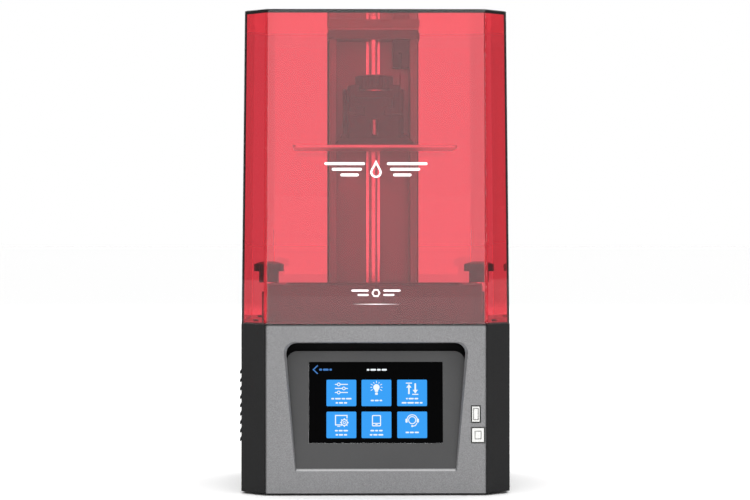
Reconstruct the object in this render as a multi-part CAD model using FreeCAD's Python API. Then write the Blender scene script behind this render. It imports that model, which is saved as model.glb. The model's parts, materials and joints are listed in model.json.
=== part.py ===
import FreeCAD, Part
import math
import os

V = FreeCAD.Vector

# ---- driving dimensions (mm, origin on the floor under the middle, -Y front, +X right, +Z up) ----
HALF = 110.5                # half width and half depth of the body
FLAT = 90.5                 # half length of each flat between the cut-off corners
FLOOR_GAP = 2.0             # height of the rubber feet
SHELL_WALL = 2.5
RIM_Z = 139.4               # top of the base shell
COVER_Z = 140.0             # bottom edge of the cover
TOP_Z = 397.0               # top of the cover
COVER_WALL = 3.0
COVER_DRAFT = 2.8           # how far the cover leans in at its top
COVER_BEND = 4.0            # outside radius of the cover's upright bends
DECK_Z0, DECK_Z = 137.0, 141.0
DECK_INSET = 3.5
FASCIA_BACK = 3.0
RECESS_Z0, RECESS_Z1 = 22.0, 124.5
RECESS_HALF0, RECESS_HALF1 = 65.3, 74.1
RECESS_BEVEL, RECESS_FOOT_BEVEL = 0.9, 2.0
RECESS_CORNER = 9.0
RECESS_LIP = 2.0            # thickness of the recess's side walls
BEZEL_DROP = 7.2            # gap between the recess top and the sunken panel
BEZEL_THICK = 3.0
TILT = 6.7                  # backward lean of the sunken panel, degrees
TILT_Y0 = -108.5            # front of the sunken panel at its bottom edge
GLASS_HALF, GLASS_Z0, GLASS_Z1 = 54.75, 20.75, 87.05
GLASS_GAP = 0.12
MASK_HALF_X, MASK_HALF_Y, MASK_Y = 66.0, 42.0, -10.0
MASK_SINK = 0.3
VAT_TOP = 171.0
VAT_FRONT, VAT_STEP, VAT_REAR = -68.0, 4.3, 48.0
VAT_HALF, VAT_REAR_HALF = 90.0, 82.8
BASIN_HALF, BASIN_Y0, BASIN_Y1 = 73.0, -57.0, 37.0
FILM_Z0, FILM_Z1 = 141.2, 141.5
POST_X, POST_Y, POST_R, POST_TOP = 90.3, 10.0, 5.5, 164.0
THUMB_R = 3.0               # stud radius of the thumb screws
SCREW_R, SCREW_Y = 4.0, 58.0
RUN = 0.05                  # radial running clearance of shafts and studs
COLUMN_HALF, COLUMN_IN = 39.0, 32.0
SLEEVE_HALF = COLUMN_HALF + 1.8
COLUMN_FRONT, COLUMN_WALL_Y, COLUMN_BACK = 55.0, 80.0, 86.0
COLUMN_TOP, CAP_TOP = 385.5, 391.0
CARRIAGE_Z0, CARRIAGE_Z1 = 296.0, 341.0
ARM_HALF, ARM_FRONT, ARM_BACK, ARM_Z0, ARM_Z1 = 22.7, -14.0, 49.0, 316.0, 341.0
HEAD_SPACE_X, HEAD_SPACE_Z0, HEAD_SPACE_Z1, HEAD_SPACE_BACK = 16.0, 322.0, 330.0, 18.5
HEAD_GAP = 0.3              # sliding clearance of the T head
KNOB_Y, KNOB_STUD_R, KNOB_R = -2.0, 4.0, 16.6
POCKET_Z, POCKET_R = 336.0, 17.6
KNOB_Z0, KNOB_TOP = 337.0, 350.5
PLATE_Z0, PLATE_Z1 = 286.0, 288.3
PLATE_HALF, PLATE_Y0, PLATE_Y1 = 69.0, -52.0, 32.0
VENT_LENGTH, VENT_PROUD = 67.0, 2.0
LEFT_VENT_Y, RIGHT_VENT_Y = -72.0, 10.0
RIB_COUNT, RIB_PITCH, RIB_Z0 = 9, 7.0, 42.7
WINDOW_Z0, WINDOW_Z1 = 39.5, 104.0
A_SOCKET = (78.0, 85.0, 59.9, 73.1)
B_SOCKET = (78.0, 88.5, 43.3, 55.5)
SOCKET_GAP = 0.6            # dark gap between a socket and the fascia
INLET = (-62.0, -48.0, 24.0, 38.0)
ROCKER_X0, ROCKER_X1, ROCKER_Z0, ROCKER_Z1 = 40.0, 61.0, 23.0, 38.0
ROCKER_PIVOT_Y, ROCKER_PIVOT_Z, ROCKER_R = 103.5, 30.5, 6.8

NODES = {}


# ---- helpers ----
def box(x0, x1, y0, y1, z0, z1):
    return Part.makeBox(x1 - x0, y1 - y0, z1 - z0, V(x0, y0, z0))


def rod(x, y, z0, z1, r):
    return Part.makeCylinder(r, z1 - z0, V(x, y, z0), V(0, 0, 1))


def rod_x(x0, x1, y, z, r):
    return Part.makeCylinder(r, x1 - x0, V(x0, y, z), V(1, 0, 0))


def rod_y(x, y0, y1, z, r):
    return Part.makeCylinder(r, y1 - y0, V(x, y0, z), V(0, 1, 0))


def fuse(shapes):
    first, rest = shapes[0], shapes[1:]
    return (first.multiFuse(rest) if rest else first).removeSplitter()


def group(shapes):
    return Part.makeCompound(shapes)


def wire_at(points, z):
    corners = [V(x, y, z) for x, y in points]
    return Part.makePolygon(corners + corners[:1])


def prism(points, z0, z1):
    return Part.Face(wire_at(points, z0)).extrude(V(0, 0, z1 - z0))


def side_prism(points_yz, x0, x1):
    corners = [V(x0, y, z) for y, z in points_yz]
    return Part.Face(Part.makePolygon(corners + corners[:1])).extrude(V(x1 - x0, 0, 0))


def front_prism(points_xz, y0, y1):
    corners = [V(x, y0, z) for x, z in points_xz]
    return Part.Face(Part.makePolygon(corners + corners[:1])).extrude(V(0, y1 - y0, 0))


def loft(points0, z0, points1, z1):
    return Part.makeLoft([wire_at(points0, z0), wire_at(points1, z1)], True, True)


def octagon(inset):
    h = HALF - inset
    f = FLAT - inset * math.tan(math.radians(22.5))
    return [(f, -h), (h, -f), (h, f), (f, h), (-f, h), (-h, f), (-h, -f), (-f, -h)]


def rectangle(half_x, half_y, cy=0.0):
    return [(-half_x, cy - half_y), (half_x, cy - half_y), (half_x, cy + half_y), (-half_x, cy + half_y)]


def edges_along(shape, axis, test=None):
    found = []
    for edge in shape.Edges:
        if len(edge.Vertexes) != 2:
            continue
        a, b = edge.Vertexes[0].Point, edge.Vertexes[1].Point
        span = b - a
        if span.Length < 1e-6 or edge.Length > span.Length + 1e-6:
            continue
        direction = span / span.Length
        if abs(direction.dot(axis)) > 0.995 and (test is None or test((a + b) * 0.5)):
            found.append(edge)
    return found


def round_edges(shape, radius, axis, test=None):
    return shape.makeFillet(radius, edges_along(shape, axis, test))


def single(shape):
    return shape.Solids[0] if len(shape.Solids) == 1 else shape


def mirrored(shape):
    return shape.mirror(V(0, 0, 0), V(1, 0, 0))


def tilted(shape):
    """Move a shape drawn with its front at Y 0 and its foot at Z 0 onto the sunken panel's plane."""
    moved = shape.copy()
    moved.Placement = FreeCAD.Placement(V(0, TILT_Y0, RECESS_Z0), FreeCAD.Rotation(V(1, 0, 0), -TILT))
    return moved


def cap_screw(x, y, z, head_r, head_h):
    """Socket-head screw standing on height z: head with a hexagon socket."""
    head = rod(x, y, z, z + head_h, head_r)
    hexagon = [(x + head_r * 0.5 * math.cos(math.radians(a)), y + head_r * 0.5 * math.sin(math.radians(a)))
               for a in range(0, 360, 60)]
    return head.cut(prism(hexagon, z + head_h * 0.45, z + head_h + 1))


def add(name, shape):
    NODES[name] = single(shape)


# ---- base housing ----
def feet():
    spot = 88.0
    pads = []
    for x in (-spot, spot):
        for y in (-spot, spot):
            pads.append(Part.makeCone(8.4, 9.0, FLOOR_GAP, V(x, y, 0), V(0, 0, 1)))
    return group(pads)


def bottom_plate():
    plate = prism(octagon(SHELL_WALL), FLOOR_GAP, 4.0)
    slots = [box(x - 1.5, x + 1.5, y0, y0 + 40, 1, 5) for x in range(-84, -48, 9) for y0 in (-60, 20)]
    slots += [box(x - 1.5, x + 1.5, y0, y0 + 40, 1, 5) for x in range(57, 90, 9) for y0 in (-60, 20)]
    front = box(-FLAT - 3, FLAT + 3, -HALF, -HALF + FASCIA_BACK, 0, 10)
    return plate.cut(group(slots)).cut(front)


def bottom_screws():
    spots = [(-60, -101), (60, -101), (-60, 101), (60, 101), (-101, 0), (101, 0)]
    return group([cap_screw(x, y, 0.7, 2.8, 1.3).mirror(V(0, 0, 1.35), V(0, 0, 1)) for x, y in spots])


def base_shell():
    walls = prism(octagon(0), FLOOR_GAP, RIM_Z).cut(prism(octagon(SHELL_WALL), 0, RIM_Z + 1))
    ledge = prism(octagon(SHELL_WALL), 133.5, DECK_Z0).cut(prism(octagon(8.0), 130, 140))
    shell = fuse([walls, ledge])
    cuts = [box(-FLAT, FLAT, -HALF - 1, -HALF + FASCIA_BACK, 0, 150),
            box(-HALF - 1, -HALF + 5, LEFT_VENT_Y, LEFT_VENT_Y + VENT_LENGTH, WINDOW_Z0, WINDOW_Z1),
            box(HALF - 5, HALF + 1, RIGHT_VENT_Y, RIGHT_VENT_Y + VENT_LENGTH, WINDOW_Z0, WINDOW_Z1),
            box(INLET[0], INLET[1], HALF - 5, HALF + 1, INLET[2], INLET[3]),
            box(ROCKER_X0, ROCKER_X1, HALF - 5, HALF + 1, ROCKER_Z0, ROCKER_Z1)]
    return shell.cut(group(cuts))


def vent(y0):
    """Left-hand louvre insert: a frame in the wall's window with slats that stand out of it."""
    y1 = y0 + VENT_LENGTH
    outer = -HALF
    frame = box(outer, outer + SHELL_WALL, y0, y1, WINDOW_Z0, WINDOW_Z1)
    frame = frame.cut(box(outer - 1, outer + 4, y0 + 3, y1 - 3, WINDOW_Z0 + 2, WINDOW_Z1 - 2))
    slats = []
    for i in range(RIB_COUNT):
        z = RIB_Z0 + RIB_PITCH * i
        profile = [(outer - VENT_PROUD, z - 1.6), (outer - VENT_PROUD, z + 1.0),
                   (outer + SHELL_WALL, z + 3.4), (outer + SHELL_WALL, z + 1.2)]
        slats.append(front_prism(profile, y0 + 1.5, y1 - 1.5))
    return fuse([frame] + slats)


def seal_ring():
    return prism(octagon(0.2), RIM_Z, COVER_Z).cut(prism(octagon(3.0), RIM_Z - 1, COVER_Z + 1))


def deck_plate():
    deck = prism(octagon(DECK_INSET), DECK_Z0, DECK_Z)
    window = prism(rectangle(MASK_HALF_X, MASK_HALF_Y, MASK_Y), DECK_Z0 - 1, DECK_Z + 1)
    return deck.cut(group([window, rod(0, SCREW_Y, DECK_Z0 - 1, DECK_Z + 1, 11.2)]))


def deck_screws():
    spots = [(-99, -50), (99, -50), (-99, 55), (99, 55), (-65, 97), (65, 97)]
    return group([cap_screw(x, y, DECK_Z, 2.2, 0.8) for x, y in spots])


# ---- front fascia, sunken panel and touch screen ----
def recess_block(grow, drop, y0, y1):
    slope = (RECESS_HALF1 - RECESS_HALF0) / (RECESS_Z1 - RECESS_Z0)
    low, high = RECESS_Z0 - grow, RECESS_Z1 + grow - drop
    half0 = RECESS_HALF0 + grow - slope * grow
    half1 = RECESS_HALF0 + grow + slope * (high + drop - RECESS_Z0)
    block = front_prism([(-half0, low), (half0, low), (half1, high), (-half1, high)], y0, y1)
    return round_edges(block, RECESS_CORNER + grow, V(0, 1, 0), lambda m: m.z > high - 1)


def behind_tilt(offset, depth):
    return tilted(box(-200, 200, offset, offset + depth, -60, 200))


def front_panel():
    plate = box(-FLAT, FLAT, -HALF, -HALF + FASCIA_BACK, FLOOR_GAP, RIM_Z)
    plate = round_edges(plate, 2.6, V(0, 0, 1), lambda m: m.y < -HALF + 1)
    top_front = edges_along(plate, V(1, 0, 0), lambda m: m.z > RIM_Z - 1 and m.y < -HALF + 1)
    plate = plate.makeChamfer(1.3, top_front)
    sides = recess_block(RECESS_LIP, 0, -HALF + 1, -80).cut(behind_tilt(0, 60))
    panel = fuse([plate, sides]).cut(recess_block(0, 0, -HALF - 5, -70)).cut(recess_bevel())
    gap = SOCKET_GAP
    holes = [box(s[0] - gap, s[1] + gap, -HALF - 1, -HALF + 5, s[2] - gap, s[3] + gap)
             for s in (A_SOCKET, B_SOCKET)]
    return panel.cut(group(holes))


def recess_bevel():
    """Flared mouth of the recess: a narrow bevel round it and a wider one along its foot."""
    def mouth(grow, foot, y):
        slope = (RECESS_HALF1 - RECESS_HALF0) / (RECESS_Z1 - RECESS_Z0)
        low, high = RECESS_Z0 - foot, RECESS_Z1 + grow
        half0 = RECESS_HALF0 + grow - slope * foot
        half1 = RECESS_HALF1 + grow
        reach = RECESS_CORNER
        points = [V(-half0, y, low), V(half0, y, low), V(half1, y, high - reach)]
        edges = [Part.makeLine(points[0], points[1]), Part.makeLine(points[1], points[2])]
        lean = half1 - slope * 2.0
        corner = [V(lean - reach * 0.27, y, high - reach * 0.27), V(lean - reach, y, high)]
        edges.append(Part.Arc(points[2], corner[0], corner[1]).toShape())
        left = [V(-c.x, c.y, c.z) for c in (corner[1], corner[0], points[2])]
        edges.append(Part.makeLine(corner[1], left[0]))
        edges.append(Part.Arc(*left).toShape())
        edges.append(Part.makeLine(left[2], points[0]))
        return Part.Wire(edges)
    front = mouth(RECESS_BEVEL, RECESS_FOOT_BEVEL, -HALF)
    back = mouth(-0.6, -0.1, -HALF + RECESS_FOOT_BEVEL + 0.1)
    return Part.makeLoft([front, back], True, True)


def bezel_panel():
    slab = tilted(box(-90, 90, 0, BEZEL_THICK, -20, 140))
    shape = recess_block(0, 0, -HALF, -70).common(recess_block(0, BEZEL_DROP, -HALF, -70)).common(slab)
    gap = GLASS_GAP
    pocket = box(-GLASS_HALF - gap, GLASS_HALF + gap, -1, 5, GLASS_Z0 - gap, GLASS_Z1 + gap)
    return shape.cut(tilted(round_edges(pocket, 0.8, V(0, 1, 0))))


def touch_glass():
    glass = box(-GLASS_HALF, GLASS_HALF, 0, 1.8, GLASS_Z0, GLASS_Z1)
    return tilted(round_edges(glass, 0.7, V(0, 1, 0)))


def display_module():
    tray = box(-50, 50, 1.8, 6.5, 24, 84)
    board = box(-58, 58, BEZEL_THICK, 4.6, 17, 89.5)
    chip = box(-30, -14, 6.5, 8.0, 40, 56)
    plug = box(10, 34, 6.5, 10.0, 30, 36)
    return tilted(fuse([tray, board, chip, plug]))


def display_screws():
    heads = [rod_y(x, 4.6, 6.4, z, 2.6) for x in (-54.5, 54.5) for z in (20.0, 86.5)]
    return group([tilted(head) for head in heads])


def recess_liner():
    outer = box(-78, 78, -HALF + FASCIA_BACK, -90.5, 112, 128.2)
    return outer.cut(box(-76.4, 76.4, -HALF, -92, 100, 126.6))


# ---- sockets, inlet and switch ----
def socket_a():
    """Upright flat socket: a shell with a tongue just behind its mouth."""
    x0, x1, z0, z1 = A_SOCKET
    wall, front = 1.0, -HALF + 0.2
    shell = box(x0, x1, front, -96, z0, z1)
    shell = shell.cut(box(x0 + wall, x1 - wall, front - 1, -98, z0 + wall, z1 - wall))
    tongue = box(x0 + 2.0, x1 - 1.9, front + 0.5, -97, z0 + 2.2, z1 - 2.2)
    return fuse([shell, tongue])


def socket_b():
    """Square socket with two cut-off corners inside and a block-shaped tongue."""
    x0, x1, z0, z1 = B_SOCKET
    front = -HALF + 0.2
    outline = [(x0 + 1.9, z0 + 1.6), (x1 - 2.8, z0 + 1.6), (x1 - 1.2, z0 + 3.2),
               (x1 - 1.2, z1 - 3.2), (x1 - 2.8, z1 - 1.6), (x0 + 1.9, z1 - 1.6)]
    cavity = front_prism(outline, front - 1, -98)
    shell = box(x0, x1, front, -96, z0, z1).cut(cavity)
    tongue = box(x0 + 3.1, x1 - 3.0, front + 0.5, -97, z0 + 3.2, z1 - 3.2)
    return fuse([shell, tongue])


def io_board():
    board = box(73, 92.5, -96, -94.4, 36, 80)
    plug = box(76, 90, -94.4, -89, 62, 70)
    return fuse([board, plug])


def dc_inlet():
    x0, x1, z0, z1 = INLET
    mid_x, mid_z = 0.5 * (x0 + x1), 0.5 * (z0 + z1)
    body = box(x0, x1, 96, HALF, z0, z1).cut(rod_y(mid_x, 99, HALF + 1, mid_z, 4.0))
    return fuse([body, rod_y(mid_x, 98, HALF - 1.5, mid_z, 1.2)])


def rocker_housing():
    body = box(ROCKER_X0, ROCKER_X1, 93, HALF, ROCKER_Z0, ROCKER_Z1)
    bore = rod_x(ROCKER_X0 + 1.5, ROCKER_X1 - 1.5, ROCKER_PIVOT_Y, ROCKER_PIVOT_Z, ROCKER_R + 0.35)
    mouth = box(ROCKER_X0 + 1.5, ROCKER_X1 - 1.5, ROCKER_PIVOT_Y, HALF + 1,
                ROCKER_PIVOT_Z - ROCKER_R - 0.35, ROCKER_PIVOT_Z + ROCKER_R + 0.35)
    pin = rod_x(ROCKER_X0 + 0.5, ROCKER_X1 - 0.5, ROCKER_PIVOT_Y, ROCKER_PIVOT_Z, 1.2)
    return fuse([body.cut(group([bore, mouth])), pin])


def rocker():
    x0, x1 = ROCKER_X0 + 1.9, ROCKER_X1 - 1.9
    y, z, r = ROCKER_PIVOT_Y, ROCKER_PIVOT_Z, ROCKER_R
    body = rod_x(x0, x1, y, z, r)
    lift = (r + 1) * math.tan(math.radians(8))
    groove = side_prism([(y + 4.2, z), (y + 4.2 + lift, z + r + 1), (y + 10, z + r + 1),
                         (y + 10, z - r - 1), (y + 4.2 + lift, z - r - 1)], x0 - 1, x1 + 1)
    body = body.cut(groove).cut(box(x0 - 1, x1 + 1, y - 10, y - 2.6, z - 10, z + 10))
    body = body.cut(rod_x(x0 - 1, x1 + 1, y, z, 1.2 + RUN))
    body.rotate(V(0, y, z), V(1, 0, 0), 8)
    return body


# ---- exposure unit ----
def mask_panel():
    return prism(rectangle(MASK_HALF_X, MASK_HALF_Y, MASK_Y), DECK_Z0, DECK_Z - MASK_SINK)


def light_shroud():
    outer = loft(rectangle(35, 35, MASK_Y), 28, rectangle(67, 44, MASK_Y), 135.5)
    inner = loft(rectangle(33.5, 33.5, MASK_Y), 28, rectangle(65.5, 42.5, MASK_Y), 135.5)
    flange = prism(rectangle(70, 46, MASK_Y), 135.5, DECK_Z0)
    flange = flange.cut(prism(rectangle(65.5, 42.5, MASK_Y), 130, 140))
    return fuse([outer.cut(inner), flange])


def grid_5x5(pitch):
    return [(pitch * i, MASK_Y + pitch * j) for i in range(-2, 3) for j in range(-2, 3)]


def lens_array():
    sheet = prism(rectangle(33, 33, MASK_Y), 30, 32)
    domes = [Part.makeCone(5.4, 2.6, 3.0, V(x, y, 32), V(0, 0, 1)) for x, y in grid_5x5(12.5)]
    return fuse([sheet] + domes)


def led_board():
    board = prism(rectangle(36, 36, MASK_Y), 26, 27.6)
    leds = [box(x - 1.7, x + 1.7, y - 1.7, y + 1.7, 27.6, 28.6) for x, y in grid_5x5(12.5)]
    return fuse([board] + leds)


def heat_sink():
    base = prism(rectangle(36, 36, MASK_Y), 21, 26)
    lefts = [-36 + 6 * i for i in range(12)] + [34]
    return fuse([base] + [box(x, x + 2, MASK_Y - 36, MASK_Y + 36, 4, 21) for x in lefts])


# ---- electronics ----
BOARD_HOLES = [(x, y) for x in (-55, 55) for y in (50, 95)]


def main_board():
    board = box(-60, 60, 45, 100, 14, 15.6)
    return board.cut(group([rod(x, y, 13, 17, 1.7) for x, y in BOARD_HOLES]))


def board_standoffs():
    return group([rod(x, y, 4, 14, 3.0) for x, y in BOARD_HOLES])


def board_screws():
    return group([cap_screw(x, y, 15.6, 2.8, 1.8) for x, y in BOARD_HOLES])


def board_parts():
    chips = [box(-12, 8, 62, 82, 15.6, 17.2), box(-40, -28, 60, 72, 15.6, 17.0),
             box(24, 36, 70, 82, 15.6, 17.4)]
    plugs = [box(x, x + 12, 47, 54, 15.6, 24.0) for x in (-40, -22, -4, 14, 32)]
    drums = [rod(x, 92, 15.6, 28, 4.0) for x in (-36, -24, 34)]
    return group(chips + plugs + drums)


def fan_frame(x0, x1, cy, cz):
    frame = box(x0, x1, cy - 30, cy + 30, cz - 30, cz + 30)
    frame = round_edges(frame, 3, V(1, 0, 0)).cut(rod_x(x0 - 1, x1 + 1, cy, cz, 28.0))
    corners = [(cy + a, cz + b) for a in (-25, 25) for b in (-25, 25)]
    frame = frame.cut(group([rod_x(x0 - 1, x1 + 1, y, z, 2.0) for y, z in corners]))
    hub = rod_x(x0, x0 + 1.5, cy, cz, 12.0)
    struts = [box(x0, x0 + 1.5, cy - 29, cy - 11, cz - 1.5, cz + 1.5),
              box(x0, x0 + 1.5, cy + 11, cy + 29, cz - 1.5, cz + 1.5),
              box(x0, x0 + 1.5, cy - 1.5, cy + 1.5, cz - 29, cz - 11),
              box(x0, x0 + 1.5, cy - 1.5, cy + 1.5, cz + 11, cz + 29)]
    axle = rod_x(x0, x1 - 3, cy, cz, 1.5)
    return fuse([frame, hub] + struts + [axle])


def fan_rotor(x0, x1, cy, cz):
    hub = rod_x(x0 + 2.2, x1 - 1.5, cy, cz, 12.0)
    blades = []
    for i in range(7):
        blade = box(x0 + 3.2, x1 - 2.5, cy + 11, cy + 27, cz - 0.8, cz + 0.8)
        blade.rotate(V(0.5 * (x0 + x1), cy + 19, cz), V(0, 1, 0), 32)
        blade = blade.common(rod_x(x0 + 2.4, x1 - 1.5, cy, cz, 27.2))
        blade.rotate(V(x0, cy, cz), V(1, 0, 0), 360.0 / 7 * i)
        blades.append(blade)
    return fuse([hub] + blades).cut(rod_x(x0, x1 - 2.9, cy, cz, 1.5 + RUN))


def carbon_filter(x0, x1, cy, cz):
    case = box(x0, x1, cy - 30, cy + 30, cz - 30, cz + 30)
    cells = [rod_x(x0 - 1, x1 + 1, cy + 11 * i, cz + 11 * j, 4.6) for i in range(-2, 3) for j in range(-2, 3)]
    return case.cut(group(cells))


# ---- vat ----
def vat_outline(z0, z1):
    points = [(-VAT_HALF, VAT_FRONT), (VAT_HALF, VAT_FRONT), (VAT_HALF, VAT_STEP), (VAT_REAR_HALF, VAT_STEP),
              (VAT_REAR_HALF, VAT_REAR), (-VAT_REAR_HALF, VAT_REAR), (-VAT_REAR_HALF, VAT_STEP),
              (-VAT_HALF, VAT_STEP)]
    block = prism(points, z0, z1)
    block = round_edges(block, 12, V(0, 0, 1), lambda m: m.y < VAT_FRONT + 1)
    return round_edges(block, 8, V(0, 0, 1), lambda m: m.y > VAT_REAR - 1)


def basin(z0, z1, grow=0.0):
    hole = box(-BASIN_HALF - grow, BASIN_HALF + grow, BASIN_Y0 - grow, BASIN_Y1 + grow, z0, z1)
    return round_edges(hole, 8 + grow, V(0, 0, 1))


def vat_body():
    body = vat_outline(DECK_Z, VAT_TOP)
    rim = [e for e in body.Edges if e.BoundBox.ZMin > VAT_TOP - 0.01 and e.CenterOfMass.y < VAT_STEP - 1]
    body = body.makeChamfer(1.0, rim)
    body = body.cut(basin(DECK_Z - 1, VAT_TOP + 1))
    rebate = basin(DECK_Z - 1, 144.0, 8.0).cut(basin(DECK_Z - 2, 150, 1.5))
    lip = basin(VAT_TOP - 2.0, VAT_TOP + 1, 2.5)
    return body.cut(rebate).cut(lip)


def film_frame():
    """Clamping ring under the vat, with its screws as separate solids."""
    ring = basin(DECK_Z, 144.0, 8.0).cut(basin(DECK_Z - 2, 150, 1.5))
    ring = ring.cut(group([rod(x, y, DECK_Z - 1, 143.5, 1.7) for x, y in film_spots()]))
    return group([ring] + [rod(x, y, DECK_Z + 0.1, 143.5, 1.7) for x, y in film_spots()])


def film_spots():
    reach = 4.7
    spots = [(x, y) for x in (-54, -18, 18, 54) for y in (BASIN_Y0 - reach, BASIN_Y1 + reach)]
    return spots + [(x, y) for x in (-BASIN_HALF - reach, BASIN_HALF + reach) for y in (-34, -10, 14)]


def clamp_posts():
    posts = []
    for x in (-POST_X, POST_X):
        post = rod(x, POST_Y, DECK_Z, POST_TOP, POST_R)
        posts.append(post.cut(rod(x, POST_Y, 146, POST_TOP + 1, THUMB_R + RUN)))
    return group(posts)


def thumb_washer(x):
    return rod(x, POST_Y, VAT_TOP, VAT_TOP + 1, 8.5).cut(rod(x, POST_Y, 160, 180, THUMB_R + RUN))


def thumb_knob(x):
    z0 = VAT_TOP + 1
    neck = rod(x, POST_Y, z0, 182, 8.0)
    head = rod(x, POST_Y, 181.5, 190, 12.5)
    turns = [math.radians(a) for a in range(0, 360, 45)]
    lobes = [rod(x + 14.6 * math.cos(a), POST_Y + 14.6 * math.sin(a), 181, 191, 3.2) for a in turns]
    head = head.cut(group(lobes))
    dome = Part.makeSphere(30, V(x, POST_Y, 160.2))
    stud = rod(x, POST_Y, 152, z0 + 1, THUMB_R)
    return fuse([head.common(dome), neck, stud])


# ---- Z axis ----
def column():
    back = box(-COLUMN_HALF, COLUMN_HALF, COLUMN_WALL_Y, COLUMN_BACK, DECK_Z, COLUMN_TOP)
    sides = [box(a, b, COLUMN_FRONT, COLUMN_BACK, DECK_Z, COLUMN_TOP)
             for a, b in ((-COLUMN_HALF, -COLUMN_IN), (COLUMN_IN, COLUMN_HALF))]
    shape = fuse([back] + sides)
    middle = 0.5 * (COLUMN_HALF + COLUMN_IN)
    grooves = [prism([(x - 1.7, COLUMN_FRONT - 1), (x + 1.7, COLUMN_FRONT - 1), (x + 1.3, COLUMN_FRONT + 1.2),
                      (x - 1.3, COLUMN_FRONT + 1.2)], DECK_Z - 1, COLUMN_TOP - 8) for x in (-middle, middle)]
    shape = round_edges(shape, 1.0, V(0, 0, 1), lambda m: m.y < COLUMN_FRONT + 1)
    return shape.cut(group(grooves))


def column_cover():
    outer = box(-SLEEVE_HALF, SLEEVE_HALF, COLUMN_BACK, 100, DECK_Z, COLUMN_TOP)
    outer = round_edges(outer, 3, V(0, 0, 1), lambda m: m.y > 99)
    return outer.cut(box(-COLUMN_HALF + 2, COLUMN_HALF - 2, COLUMN_BACK - 1, 98, DECK_Z + 6, COLUMN_TOP - 2))


def column_cap():
    cap = box(-SLEEVE_HALF, SLEEVE_HALF, COLUMN_FRONT - 8, 100, COLUMN_TOP, CAP_TOP)
    cap = round_edges(cap, 3, V(0, 0, 1))
    return cap.cut(rod(0, SCREW_Y, COLUMN_TOP - 1, 389, SCREW_R + RUN))


def column_screws():
    heads = [cap_screw(x, y, 133.5, 2.9, 3.5) for x in (-35.5, 35.5) for y in (64, 82)]
    return group(heads)


def cap_screws():
    return group([cap_screw(x, y, CAP_TOP, 2.9, 1.6) for x in (-34, 34) for y in (62, 92)])


RAIL_HOLES = [158 + 30 * i for i in range(8)]


def linear_rail():
    profile = [(-6, 72), (6, 72), (6, 74.6), (5.2, 75.2), (5.2, 76.6), (6, 77.2), (6, 80),
               (-6, 80), (-6, 77.2), (-5.2, 76.6), (-5.2, 75.2), (-6, 74.6)]
    rail = prism(profile, 143, 385)
    return rail.cut(group([rod_y(0, 71, 75.5, z, 3.0) for z in RAIL_HOLES]))


def rail_screws():
    return group([rod_y(0, 73.0, 75.5, z, 2.8).cut(rod_y(0, 72, 74.4, z, 1.5)) for z in RAIL_HOLES])


def lead_screw():
    shaft = rod(0, SCREW_Y, 100, 388, SCREW_R)
    return shaft.makeChamfer(0.6, [e for e in shaft.Edges if e.BoundBox.ZMin > 387 and e.BoundBox.ZMax < 389])


def stepper():
    half = 21.15
    body = box(-half, half, SCREW_Y - half, SCREW_Y + half, 98, 137)
    corner = edges_along(body, V(0, 0, 1))
    body = body.makeChamfer(4.5, corner)
    middle = box(-30, 30, 20, 100, 107, 128).cut(box(-half + 0.8, half - 0.8, SCREW_Y - half + 0.8,
                                                     SCREW_Y + half - 0.8, 100, 135))
    body = body.cut(middle)
    boss = rod(0, SCREW_Y, 137, 139, 11.0)
    return fuse([body, boss]).cut(rod(0, SCREW_Y, 99, 140, SCREW_R + RUN))


def limit_switch():
    block = box(17.3, COLUMN_IN, 58, 78, 361, COLUMN_TOP)
    return block.cut(box(22.4, 25.2, 55, 72, 360, 374))


def rail_slider():
    block = box(-13.5, 13.5, 67, 77, CARRIAGE_Z0, CARRIAGE_Z1)
    block = round_edges(block, 0.8, V(0, 0, 1))
    return block.cut(box(-6.3, 6.3, 71.7, 78, CARRIAGE_Z0 - 1, CARRIAGE_Z1 + 1))


def carriage_block():
    block = box(-27, 27, 49, 67, CARRIAGE_Z0, CARRIAGE_Z1)
    block = round_edges(block, 2, V(0, 0, 1))
    slot = box(-11, 11, 48, SCREW_Y, 299, 313)
    bore = rod(0, SCREW_Y, CARRIAGE_Z0 - 1, CARRIAGE_Z1 - 10, 6.0)
    seat = rod(0, SCREW_Y, CARRIAGE_Z1 - 10.5, CARRIAGE_Z1 + 1, 5.2)
    return block.cut(group([slot])).cut(bore).cut(seat)


def brass_nut():
    flange = box(-12, 12, SCREW_Y - 7.5, SCREW_Y + 7.5, CARRIAGE_Z1 + 2, CARRIAGE_Z1 + 7)
    flange = round_edges(flange, 1.5, V(0, 0, 1))
    collar = rod(0, SCREW_Y, CARRIAGE_Z1 + 7, CARRIAGE_Z1 + 11, 6.5)
    barrel = rod(0, SCREW_Y, CARRIAGE_Z1 - 10, CARRIAGE_Z1 + 3, 5.1)
    pad = box(-12, 12, SCREW_Y - 7.5, SCREW_Y + 7.5, CARRIAGE_Z1, CARRIAGE_Z1 + 2)
    return fuse([flange, collar, barrel, pad]).cut(rod(0, SCREW_Y, 320, 360, SCREW_R + RUN))


def nut_screws():
    return group([cap_screw(x, SCREW_Y, CARRIAGE_Z1 + 7, 2.2, 2.0) for x in (-9.3, 9.3)])


def limit_flag():
    blade = box(23.3, 24.3, 60, 69, CARRIAGE_Z1, 354.9)
    blade = blade.common(box(20, 30, 50, 66, 300, 400))
    foot = box(16.5, 24.3, 60, 66, CARRIAGE_Z1, CARRIAGE_Z1 + 1)
    return fuse([blade, foot])


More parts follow.
